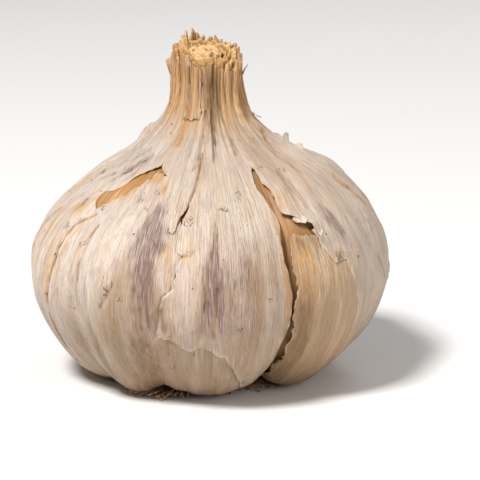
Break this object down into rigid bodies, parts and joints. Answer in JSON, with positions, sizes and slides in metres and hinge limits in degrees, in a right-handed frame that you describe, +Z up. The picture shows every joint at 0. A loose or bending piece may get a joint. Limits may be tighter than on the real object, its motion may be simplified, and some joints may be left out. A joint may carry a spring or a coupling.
{
  "type": "garlic bulb",
  "caption": "Dried garlic bulb: plump cloves in a tan inner skin, torn papery wrapper leaves, a splintered cut neck round its stalk, and a root plate with trimmed root stubs.",
  "frame": {"origin": "middle of the root plate's flat underside, which the bulb stands on", "axes": "+Z up the neck, -Y out of the side that the picture shows, +X to that side's right"},
  "size_m": [0.0595, 0.0596, 0.0563],
  "materials": {
    "inner_skin": "satin, tan to ochre, finely fibred",
    "wrapper": "dry, cream, lengthwise fibres",
    "under_wrapper": "dry, beige, lengthwise fibres",
    "stalk": "rough pith",
    "root_plate": "rough, corky"
  },
  "bodies": {
    "root": {"cloves_in_inner_skin": "inner_skin", "front_wrapper": "wrapper", "front_strip_wrapper": "wrapper", "neck_strip": "wrapper", "front_base_wrapper": "under_wrapper", "left_front_wrapper": "wrapper", "left_shoulder_wrapper": "wrapper", "right_shoulder_wrapper": "wrapper", "right_inner_wrapper": "under_wrapper", "back_right_wrapper": "wrapper", "back_left_wrapper": "wrapper", "stalk": "stalk", "root_plate": "root_plate"}
  },
  "joints": []
}
